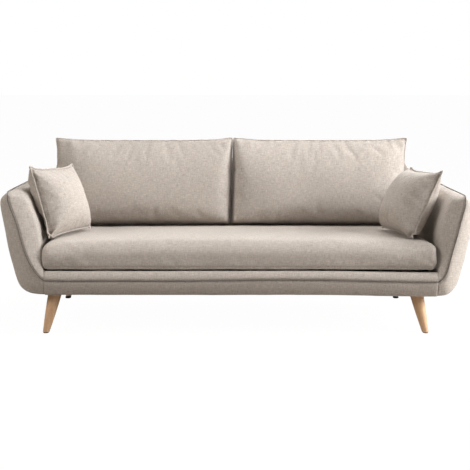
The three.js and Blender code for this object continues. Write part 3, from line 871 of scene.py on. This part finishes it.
def gather(piece, path, seed, pucker, dip):
    """A shallow dip along a seam, with small folds that run out from it and die away."""
    tree = path_tree(resampled(path + path[:1], SEAM_STEP))
    cord_width, dip_at, dip_width, reach, swell = 0.006, 0.008, 0.004, 0.022, 0.0015

    def rise(point, normal):
        _, nearest, distance = tree.find(point)
        side = 7 if normal[1] > 0 else 0
        fold = noise_at(nearest * 0.15, seed + side, distance * 22)
        fold += 0.7 * noise_at(nearest * 0.37, seed + side + 3, distance * 15)
        fold *= pucker * min(distance / cord_width, 1.0) * math.exp(-distance / reach)
        padding = swell * noise.noise(point * 6 + Vector((seed, 0, 0)))
        return fold - dip * bump_at(distance - dip_at, dip_width) + padding

    displace(piece, rise)


def wander(piece, ring, amount, seed):
    """The sewn edge isn't quite straight."""
    places = coordinates(piece)
    for order, index in enumerate(ring):
        places[index][0] += amount * noise_at(order * 0.35, seed, 0)
        places[index][2] += amount * noise_at(order * 0.35, seed, 9)
    set_coordinates(piece, places)


def pinch(piece, corner, reach, depth, rise=0.0045):
    """Draws a corner in, with folds that spread from it like a gathered bag."""
    folds, turned, clear = 6, 1.0, 0.010

    def drawn(point, _):
        away = point - corner
        distance = away.length
        if distance > 4 * reach:
            return 0.0
        fold = math.cos(folds * math.atan2(away.z, away.x) + turned) * math.exp(-distance / reach)
        return rise * fold * min(distance / clear, 1.0) - depth * bump_at(distance, 0.45 * reach)

    displace(piece, drawn)


def pleat(piece, foot, seed):
    """Soft upright folds just above a cushion's foot, where its weight bunches the cover."""
    depth, above, reach = 0.0065, 0.012, 0.070

    def rise(point, normal):
        if normal[1] > -0.2:
            return 0.0
        x, height = point.x, point.z - foot
        fold = noise_at(x * 26, height * 5, seed) + 0.5 * noise_at(x * 60, height * 9, seed)
        patch = smooth(0.5 + 1.6 * noise_at(x * 3.1, seed, 0))
        return depth * fold * patch * smooth(height / above) * bump_at(height, reach)

    displace(piece, rise)


BACK_CUSHION_LEAN = math.radians(9.7)
SEAT_REAR_TOP = SEAT_TOP - 0.012  # the seat cushion's top where the back cushions stand on it
GAP_HALF = 0.0022  # half the gap between the back cushions
GAP_LEAN = 0.012  # how far the gap runs to the left on its way down


def build_back_cushion(side, sign):
    body = f"back_{side}"
    low, high = node_box(f"back_cushion_{side}")
    outer = 0.853 if sign < 0 else 0.838
    foot, top = SEAT_REAR_TOP - 0.004, high.z - 0.003
    height = (top - foot) / math.cos(BACK_CUSHION_LEAN)
    pull = (0.030, 0.002) if sign < 0 else (0.002, 0.026)
    fullness = (*((5.0, 26.0) if sign < 0 else (26.0, 5.0)), 2.2, 7.0, -0.6)
    piece, ring = knife_edge(
        f"back_cushion_cover_{side}", body, size=(outer - GAP_HALF, height), loft=(0.092, 0.075),
        spacing=0.0115, pull=pull, ears=(0.066, 0.0), fullness=(fullness, fullness), seed=20 + sign,
        corner=0.006)
    inflate(piece, pressure=2.0, frames=18, cap=0.02, slack=0.012, held=ring)
    wander(piece, ring, 0.0016, 60 + sign)
    middle = (foot + top) / 2
    foot_y = low.y + 0.066
    across = sign * (outer + GAP_HALF) / 2
    lean = np.array(Matrix.Rotation(-BACK_CUSHION_LEAN, 3, "X"))
    places = coordinates(piece) @ lean.T + (across, foot_y + (middle - foot) * BACK_LEAN, middle)
    above = (places[:, 2] - foot) / (top - foot)
    places[:, 0] -= GAP_LEAN * (1 - above)
    wall = np.array([back_front_y(z) - 0.006 for z in places[:, 2]])
    places[:, 1] = np.where(places[:, 2] < BACK_HIGH.z, np.minimum(places[:, 1], wall), places[:, 1])
    places[:, 2] = np.maximum(places[:, 2], SEAT_REAR_TOP)
    set_coordinates(piece, places)
    finish_knife_edge(piece, ring, f"back_cushion_seam_{side}", body, 20 + sign,
                      cord=0.0022, pucker=0.0026, dip=0.0022)
    pleat(piece, SEAT_REAR_TOP, 50 + sign)
    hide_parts(f"back_cushion_{side}")


# How far the pillows' corners are from the middle of their CAD boxes: in front below, in front above, behind
# below and behind above. The one on the right leans further.
PILLOW_CORNERS = {
    "left": ((-0.046, -0.174, -0.165), (-0.124, -0.174, 0.153),
             (0.102, 0.143, -0.165), (0.018, 0.143, 0.136)),
    "right": ((-0.008, -0.172, -0.160), (0.115, -0.172, 0.139),
              (-0.089, 0.145, -0.160), (0.042, 0.145, 0.127)),
}


def arm_inner_x(y, z, sign):
    """How far from the middle the inner side of one arm is."""
    return x_at_height(lambda share: carry_back(inner_at(share, sign), TOE_INNER, y), z, 16)


def build_pillow(side):
    body = f"scatter_{side}"
    centre = sum(node_box(f"pillow_{side}"), Vector()) / 2
    sign = 1 if centre.x > 0 else -1
    width, height = 0.352, 0.322
    fullness = ((2.8, 2.8, 2.5, 2.8, -0.05), (4.5, 4.5, 2.8, 3.4, -0.05))
    piece, ring = knife_edge(
        f"pillow_cover_{side}", body, size=(width, height), loft=(0.070, 0.088), spacing=0.008,
        pull=(0.060, 0.060), ears=(0.140, 0.070), fullness=fullness, seed=30 + sign, corner=0.017)
    inflate(piece, pressure=2.5, frames=18, cap=0.02, slack=0.012, held=ring, bending=0.3)
    wander(piece, ring, 0.0022, 30 + sign)
    corner_x, corner_z = width / 2 - 0.010, 0.012 - height / 2
    pinch(piece, Vector((-corner_x, 0, corner_z)), reach=0.055, depth=0.006, rise=0.014)
    pinch(piece, Vector((corner_x, 0, corner_z)), reach=0.035, depth=0.004, rise=0.008)
    front_low, front_high, rear_low, rear_high = [centre + Vector(corner) for corner in PILLOW_CORNERS[side]]
    face = (rear_low - front_low).cross(front_high - front_low).normalized()
    places = coordinates(piece)
    for index, (x, y, z) in enumerate(places):
        u, v = x / width + 0.5, z / height + 0.5
        low_edge, high_edge = front_low.lerp(rear_low, u), front_high.lerp(rear_high, u)
        places[index] = low_edge.lerp(high_edge, v) - face * float(y)
    # The side against the arm is pressed flat by it.
    for index, (x, y, z) in enumerate(places):
        if z < ARM_TOP + 0.02:
            tuck = 0.004 + 0.020 * fading(z, SEAT_REAR_TOP + 0.06, 0.11)
            places[index][0] = sign * min(sign * x, arm_inner_x(y, z, sign) - tuck)
    places[:, 2] = np.maximum(places[:, 2], SEAT_REAR_TOP + 0.003)
    set_coordinates(piece, places)
    finish_knife_edge(piece, ring, f"pillow_seam_{side}", body, 30 + sign,
                      cord=0.0035, pucker=0.0044, dip=0.0058)
    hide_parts(f"pillow_{side}")


def box_grid(counts):
    """The surface of a cube from -1 to 1 as a grid of quads, with shared edges."""
    points, index, faces = [], {}, []

    def vertex(key):
        if key not in index:
            index[key] = len(points)
            points.append([2 * key[axis] / counts[axis] - 1 for axis in range(3)])
        return index[key]

    for axis in range(3):
        u, v = [a for a in range(3) if a != axis]
        for end in (0, counts[axis]):
            for i in range(counts[u]):
                for j in range(counts[v]):
                    corners = []
                    for a, b in ((i, j), (i + 1, j), (i + 1, j + 1), (i, j + 1)):
                        key = [0, 0, 0]
                        key[axis], key[u], key[v] = end, a, b
                        corners.append(vertex(tuple(key)))
                    faces.append(corners)
    return np.array(points), faces


def rounded(point, half, radii):
    """A point of a box's surface drawn onto the same box with elliptical edges."""
    core = [clamp(point[a], -half[a] + radii[a], half[a] - radii[a]) for a in range(3)]
    away = Vector([(point[a] - core[a]) / radii[a] for a in range(3)]).normalized()
    return Vector([core[a] + away[a] * radii[a] for a in range(3)])


def build_seat_cushion():
    low, high = node_box("seat_cushion")
    left, right = -0.833, 0.850
    front, rear = low.y - 0.009, high.y
    bottom, end_top = low.z + 0.001, high.z - 0.018
    crown_height, rear_dip, taper, right_ear = 0.017, 0.016, 0.033, 0.007
    spacing = 0.0125
    half = [(right - left) / 2, (rear - front) / 2, (end_top - bottom) / 2]
    grid, faces = box_grid([round(2 * size / spacing) for size in half])
    middle = Vector(((left + right) / 2, (front + rear) / 2, (bottom + end_top) / 2))
    points, held = [], []
    for index, (a, b, c) in enumerate(grid):
        end_radius = 0.026 if a < 0 else 0.010
        if c > 0:
            radii = (end_radius, 0.050, mix(0.050, 0.022, rising(a, 0.80, 0.18)))
        else:
            radii = (end_radius, 0.030, 0.034)
        p = rounded((a * half[0], b * half[1], c * half[2]), half, radii)
        u, v = p.x / half[0], p.y / half[1]
        crown = crown_height * (1 - abs(u) ** (2.4 if u < 0 else 3.4)) * (1 - abs(v) ** 4)
        crown -= rear_dip * rising(v, -0.7, 1.3) * (1 - abs(u) ** 6)
        crown *= smooth((c + 1) / 2)
        x = p.x * (1 - taper / half[0] * (v + 1) / 2)
        if a > 0:
            x += right_ear * abs(u) ** 40 * bump_at(p.y + half[1], 0.03)
        points.append(middle + Vector((x, p.y, p.z + crown)))
        if c < -0.99 or b > 0.99:
            held.append(index)
    piece = new_piece("seat_cushion_cover", points, faces, "cushion_fabric", "seat")
    inflate(piece, pressure=1.2, frames=14, cap=0.008, slack=0.006, held=held, bending=2.0, tension=30.0)
    places = coordinates(piece)
    places[:, 2] = np.maximum(places[:, 2], low.z)
    arm_front, clearance = INNER_LINE[0].y, 0.0015
    for index, (x, y, z) in enumerate(places):
        sign = 1 if x > 0 else -1
        wall = sign * on_side(Vector((arm_inner_x(y, z, sign), max(y, arm_front), z)), sign).x
        if abs(x) > 0.7 and y > arm_front + 0.004:
            places[index][0] = sign * min(sign * x, wall - clearance)
    set_coordinates(piece, places)
    subdivide(piece, 1)

    seam_z, seam_y = bottom + 0.011, front + 0.006
    seam = [Vector((mix(left + 0.012, right - 0.010, k / 400), seam_y, seam_z)) for k in range(401)]
    seam = seated(seam, piece)
    tailor(piece, [seam], 41, groove=0.0018, pucker=0.0014, swell=0.0022)
    tube("seat_cushion_seam", resampled(seam, 0.006), 0.0022, "cushion_fabric", "seat", sides=8)
    pinch(piece, Vector((right - 0.004, front + 0.004, bottom + 0.020)), reach=0.030, depth=0.010)
    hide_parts("seat_cushion")


# ---- Legs ----
LEG_SPLAY = 39 / 172  # sideways run for each unit of height, along X and along Y


def turned_leg(name, node, profile, slot):
    """A turned piece that leans outward with its leg, from (radius, height) pairs."""
    low, high = node_box(node)
    tip, foot = profile[0]
    signs = [1 if low[axis] > 0 else -1 for axis in (0, 1)]
    place = [sign * (max(abs(low[axis]), abs(high[axis])) - tip) for axis, sign in enumerate(signs)]
    sides = 40
    points = []
    for radius, z in profile:
        x, y = [at - sign * (z - foot) * LEG_SPLAY for at, sign in zip(place, signs)]
        for k in range(sides):
            angle = 2 * math.pi * k / sides
            points.append(Vector((x + radius * math.cos(angle), y + radius * math.sin(angle), z)))
    piece = new_piece(name, points, swept_faces(len(profile), sides), slot)
    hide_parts(node)


def build_legs():
    for corner in ("front_left", "front_right", "rear_left", "rear_right"):
        low, high = node_box(f"leg_{corner}")
        tip, top, belly, steps = 0.0145, 0.030, 0.0012, 14
        first, last = low.z + 0.0024, high.z - 0.004
        profile = [(tip - 0.0016, low.z), (tip - 0.0005, low.z + 0.0008), (tip, first)]
        for k in range(1, steps):
            share = k / steps
            radius = mix(tip, top, share) + belly * math.sin(math.pi * share)
            profile.append((radius, mix(first, last, share)))
        profile += [(top - 0.0006, high.z - 0.003), (top, high.z - 0.001), (top - 0.0004, high.z)]
        turned_leg(f"wooden_leg_{corner}", f"leg_{corner}", profile, "leg_wood")
        low, high = node_box(f"leg_glide_{corner}")
        radius = (high.x - low.x - (high.z - low.z) * LEG_SPLAY) / 2
        profile = [(radius - 0.001, low.z), (radius, low.z + 0.001), (radius, high.z - 0.0006),
                   (radius - 0.0006, high.z)]
        turned_leg(f"foot_glide_{corner}", f"leg_glide_{corner}", profile, "black_plastic")


# ---- Studio ----

def white_sweep():
    """A white floor: bright to the camera, with faint shadows, and mid grey to the light it reflects."""
    paint = Shader("studio_floor")
    shade = paint.ramp(paint.noise(paint.place(), 1.5), (0.3, (0.38, 0.35, 0.32)), (0.7, (0.40, 0.37, 0.34)))
    material = paint.finish(shade, Roughness=0.9, Specular_IOR_Level=0.1)
    matt = paint.surface.outputs[0]
    glow = paint.add("ShaderNodeEmission", {"Color": (1, 1, 1, 1), "Strength": 1.055}).outputs[0]
    glowing = paint.add("ShaderNodeMixShader", {0: 0.93, 1: matt, 2: glow}).outputs[0]
    paint.feed(paint.tree.nodes["Material Output"].inputs["Surface"], paint.to_camera(matt, glowing))
    return material


def white_room(top, side, low):
    """A world that is white behind the sofa and lights it faintly, by how high the light comes from."""
    world = bpy.data.worlds.new("studio")
    bpy.context.scene.world = world
    world.use_nodes = True
    room = Nodes(world.node_tree)
    place = room.add("ShaderNodeTexCoord").outputs["Generated"]
    rise = room.add("ShaderNodeSeparateXYZ", {0: place}).outputs["Z"]
    height = room.add("ShaderNodeMapRange", {"Value": rise, "From Min": -1}).outputs[0]
    glow = room.ramp(height, (0.25, (low,) * 3), (0.5, (side,) * 3), (0.9, (top,) * 3))
    light = room.tree.nodes["Background"]
    room.feed(light.inputs["Color"], glow)
    light.inputs["Strength"].default_value = 1.0
    white = room.add("ShaderNodeBackground", {"Color": (1, 1, 1, 1)}).outputs[0]
    room.feed(room.tree.nodes["World Output"].inputs["Surface"], room.to_camera(light.outputs[0], white))


def softbox(name, place, target, size, power, colour=(1, 1, 1)):
    light = bpy.data.lights.new(name, "AREA")
    light.shape = "RECTANGLE"
    light.size, light.size_y = size
    light.energy = power
    light.color = colour
    lamp = bpy.data.objects.new(name, light)
    bpy.context.scene.collection.objects.link(lamp)
    lamp.location = place
    lamp.rotation_euler = (Vector(target) - Vector(place)).to_track_quat("-Z", "Y").to_euler()


def build_studio():
    scene = bpy.context.scene
    bpy.ops.mesh.primitive_plane_add(size=120, location=(0, 0, 0))
    floor = bpy.context.object
    floor.name = "floor"
    floor.data.materials.append(white_sweep())

    white_room(0.02, 0.02, 0.0)
    middle = (0, 0, 0.4)
    softbox("side_light", (4.8, -0.4, 1.9), middle, (2.2, 2.0), 205)
    softbox("key_light", (4.6, -1.6, 2.8), middle, (3.0, 2.4), 215)
    softbox("top_light", (0.6, -0.2, 4.0), (0.2, 0.0, 0.3), (3.0, 2.0), 82)
    softbox("fill_light", (-4.0, -2.2, 3.0), middle, (2.2, 2.0), 110, (1.0, 0.955, 0.90))
    softbox("rim_light", (1.6, 2.8, 3.2), middle, (2.2, 1.6), 88)

    camera = bpy.data.cameras.new("camera")
    camera.lens = 75.83
    camera.sensor_width = 36
    camera.shift_x = 0.0574
    view = bpy.data.objects.new("camera", camera)
    scene.collection.objects.link(view)
    view.location = (-0.12, -4.54, 1.088)
    view.rotation_euler = (math.radians(90 - 9.01), 0, 0)
    scene.camera = view
    scene.view_settings.view_transform = "Standard"


build_studio()
dress_cad_nodes()
build_legs()
for side, sign in (("left", -1), ("right", 1)):
    build_arm(side, sign)
build_front_rail()
build_back()
build_seat_cushion()
for side, sign in (("left", -1), ("right", 1)):
    build_back_cushion(side, sign)
    build_pillow(side)
